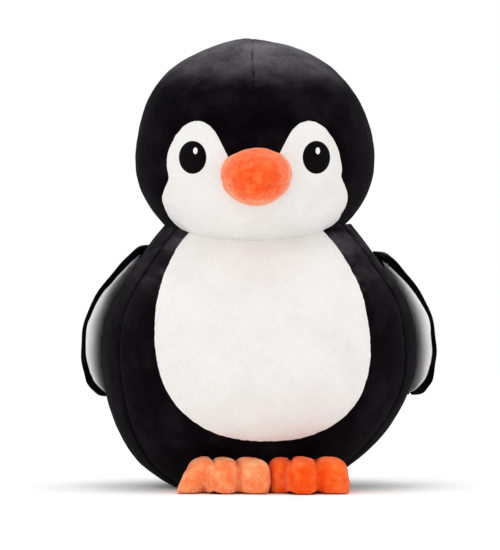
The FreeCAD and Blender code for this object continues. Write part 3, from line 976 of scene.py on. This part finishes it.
def merged(name, parts, voxel, material):
    """One closed skin round several overlapping forms."""
    verts, faces = [], []
    for part_verts, part_faces in parts:
        base = len(verts)
        verts += list(part_verts)
        faces += [tuple(v + base for v in f) for f in part_faces]
    thing = new_object(name, verts, faces, material)
    remesh = thing.modifiers.new("skin", "REMESH")
    remesh.mode, remesh.voxel_size = "VOXEL", voxel * MM
    graph = bpy.context.evaluated_depsgraph_get()
    mesh = bpy.data.meshes.new_from_object(thing.evaluated_get(graph))
    points = np.array([v.co for v in mesh.vertices]) / MM
    polygons = [tuple(p.vertices) for p in mesh.polygons]
    bpy.data.objects.remove(thing)
    return relaxed(points, polygons, 3), polygons


def relaxed(points, polygons, rounds):
    """Moves each point towards the mean of its neighbours."""
    sides = {(min(a, b), max(a, b)) for f in polygons for a, b in zip(f, f[1:] + f[:1])}
    edges = np.array(sorted(sides))
    count = np.bincount(edges.ravel(), minlength=len(points))[:, None]
    for _ in range(rounds):
        total = np.zeros_like(points)
        np.add.at(total, edges[:, 0], points[edges[:, 1]])
        np.add.at(total, edges[:, 1], points[edges[:, 0]])
        points = points * 0.4 + 0.6 * total / np.maximum(count, 1)
    return points


def foot(side):
    """Three toes and a heel under one skin, with sewn creases between the toes."""
    parts = [toe(*spec) for spec in FEET[side]]
    first, last = FEET[side][0][0], FEET[side][-1][0]
    heel = ((first + last) / 2, FOOT_HEEL - 7, TOE_LEVEL)
    parts.append(blob(heel, ((last - first) / 2 + 8, 15, TOE_TALL - 2), 0.7))
    points, polygons = merged(f"foot_{side}_form", parts, 1.2, ORANGE)

    def crease_distance(points):
        near = []
        for root, tip, front in creases(side):
            ahead = np.clip((FOOT_HEEL - points[:, 1]) / (FOOT_HEEL - front), 0, 1.3)
            near.append(np.abs(points[:, 0] - root - (tip - root) * ahead))
        return np.min(np.stack(near), 0)

    held = crease_distance(points) < 1.4
    held |= (points[:, 2] < FOOT_FLAT) | (points[:, 1] > FOOT_HELD)
    push = inflated(points, polygons, held) - points
    reach = np.linalg.norm(push, axis=1, keepdims=True)
    points = points + push * np.minimum(1.0, FOOT_PUSH / np.maximum(reach, 1e-9))
    below = points[:, 2] - FOOT_FLAT
    points[:, 2] = np.where(below < 0, 0.3 + 0.8 * np.exp(np.minimum(below, 0)), points[:, 2])
    out = vertex_normals(points, polygons)
    lumps = 0.8 * wobble(points * (1, 0.5, 1), 9, 31) + 0.3 * wobble(points, 3.4, 32)
    fold = CREASE_DEEP * bell(crease_distance(points), 0, 1.3) * (points[:, 1] < CREASE_START)
    in_front = np.clip((TOE_FRONT - points[:, 1]) / 8, 0, 1)
    points[:, 2] += CREASE_RISE * bell(crease_distance(points), 0, 3.5) * in_front
    points = points + out * ((lumps - fold) * np.clip(points[:, 2] / 6, 0, 1))[:, None]
    coords, sole, upper = cut_along(points, polygons, points[:, 2] - PILE)
    out = vertex_normals(coords, sole + upper)
    # The left foot's orange has painted light, and the right foot's has painted shade.
    for part, faces in (("upper", upper), ("sole", sole)):
        name = f"foot_{side}_{part}_cloth"
        piece = shell(name, coords, out, faces, FOOT_PANEL, FOOT_PAINTED_LIGHT_AND_SHADE[side])
        finish_piece([f"foot_{side}_{part}"])
        blend_foot(piece)
    tree = BVHTree.FromPolygons([tuple(p) for p in coords], sole + upper)
    rows = []
    for root, tip, front in creases(side):
        path = []
        for y in np.linspace(-80, front + 3, 9):
            x = root + (tip - root) * (FOOT_HEEL - y) / (FOOT_HEEL - front)
            point, _, _, _ = tree.ray_cast(Vector((x, float(y), 60)), Vector((0, 0, -1)))
            if point is not None:
                path.append(np.array(point) + (0, 0, 0.1))
        rows.append(path)
    stitches = tube(f"foot_{side}_toe_thread", rows, 0.35, ORANGE_THREAD)
    finish_piece([f"foot_{side}_toe_stitches"])
    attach(stitches, f"foot_{side}")
    toes = [toe(*spec, inset=FOOT_SKIN) for spec in FEET[side]]
    verts, faces = merged(f"foot_{side}_inside", toes, 2.5, FILL)
    verts[:, 2] = np.maximum(verts[:, 2], 2.5)
    inside = new_object(f"foot_{side}_fill", verts, faces, FILL)
    finish_piece([f"foot_{side}_stuffing"])
    blend_foot(inside)


def blend_foot(piece):
    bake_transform(piece)


for side in SIDES:
    foot(side)


# ---------------- closing seam
def closing_stitches():
    """Nine short ladder stitches across the middle back seam."""
    paths = []
    low, high = cad_box("closing_stitches")
    for height in np.linspace(low[2], high[2], 9):
        tilt = torso_tilt(height)
        path = []
        for reach in np.linspace(-2.6, 2.6, 9):
            point = torso(np.array(math.pi + reach / TORSO_WIDE), np.array(tilt + 0.004 * reach))
            path.append(point + np.array((0, 0.3 - 1.0 * math.exp(-(reach / 1.6) ** 2), 0)))
        paths.append(path)
    return tube("closing_thread", paths, 0.4, BLACK_THREAD)


stitches = closing_stitches()
finish_piece(["closing_stitches"])
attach(stitches, "torso")


# ---------------- floor and studio
def floor():
    """A large pale sheet that the toy stands on."""
    material = bpy.data.materials.new("paper_floor")
    material.use_nodes = True
    shader = material.node_tree.nodes["Principled BSDF"]
    shader.inputs["Base Color"].default_value = (1, 1, 1, 1)
    shader.inputs["Roughness"].default_value = 0.9
    shader.inputs["Specular IOR Level"].default_value = 0.1
    reach, level = 6000, -0.2
    corners = [(x * reach, y * reach, level) for x, y in ((-1, -1), (1, -1), (1, 1), (-1, 1))]
    plane = new_object("floor", corners, [(0, 1, 2, 3)], material)


def light(name, where, aim, size, power):
    """A square soft light, in metres and watts."""
    data = bpy.data.lights.new(name, "AREA")
    data.size, data.energy = size, power
    lamp = bpy.data.objects.new(name, data)
    lamp.location = where
    lamp.rotation_euler = (Vector(aim) - Vector(where)).to_track_quat("-Z", "Y").to_euler()
    bpy.context.scene.collection.objects.link(lamp)


def studio():
    """Even white light all round, with a soft key from the front left and one from above."""
    scene = bpy.context.scene
    world = bpy.data.worlds.new("studio")
    world.use_nodes = True
    background = world.node_tree.nodes["Background"]
    background.inputs["Color"].default_value = (1, 1, 1, 1)
    background.inputs["Strength"].default_value = 1.0
    scene.world = world
    scene.view_settings.view_transform = "Standard"
    light("key", (-0.7, -1.3, 1.3), (0, 0, 0.15), 0.9, 3)
    light("top", (0.1, 0.1, 1.5), (0, 0, 0.2), 0.8, 4)


def camera():
    """Far back with a long lens, a degree above level."""
    distance, elevation, view_tall = 4.0, math.radians(1), 0.3597
    aim = Vector((-0.0033, 0, 0.1382))
    data = bpy.data.cameras.new("camera")
    data.sensor_width = 36
    data.lens = data.sensor_width * distance / view_tall
    data.clip_end = 50
    eye = bpy.data.objects.new("camera", data)
    eye.location = aim + Vector((0, -math.cos(elevation), math.sin(elevation))) * distance
    eye.rotation_euler = (math.pi / 2 - elevation, 0, 0)
    bpy.context.scene.collection.objects.link(eye)
    bpy.context.scene.camera = eye


floor()
studio()
camera()
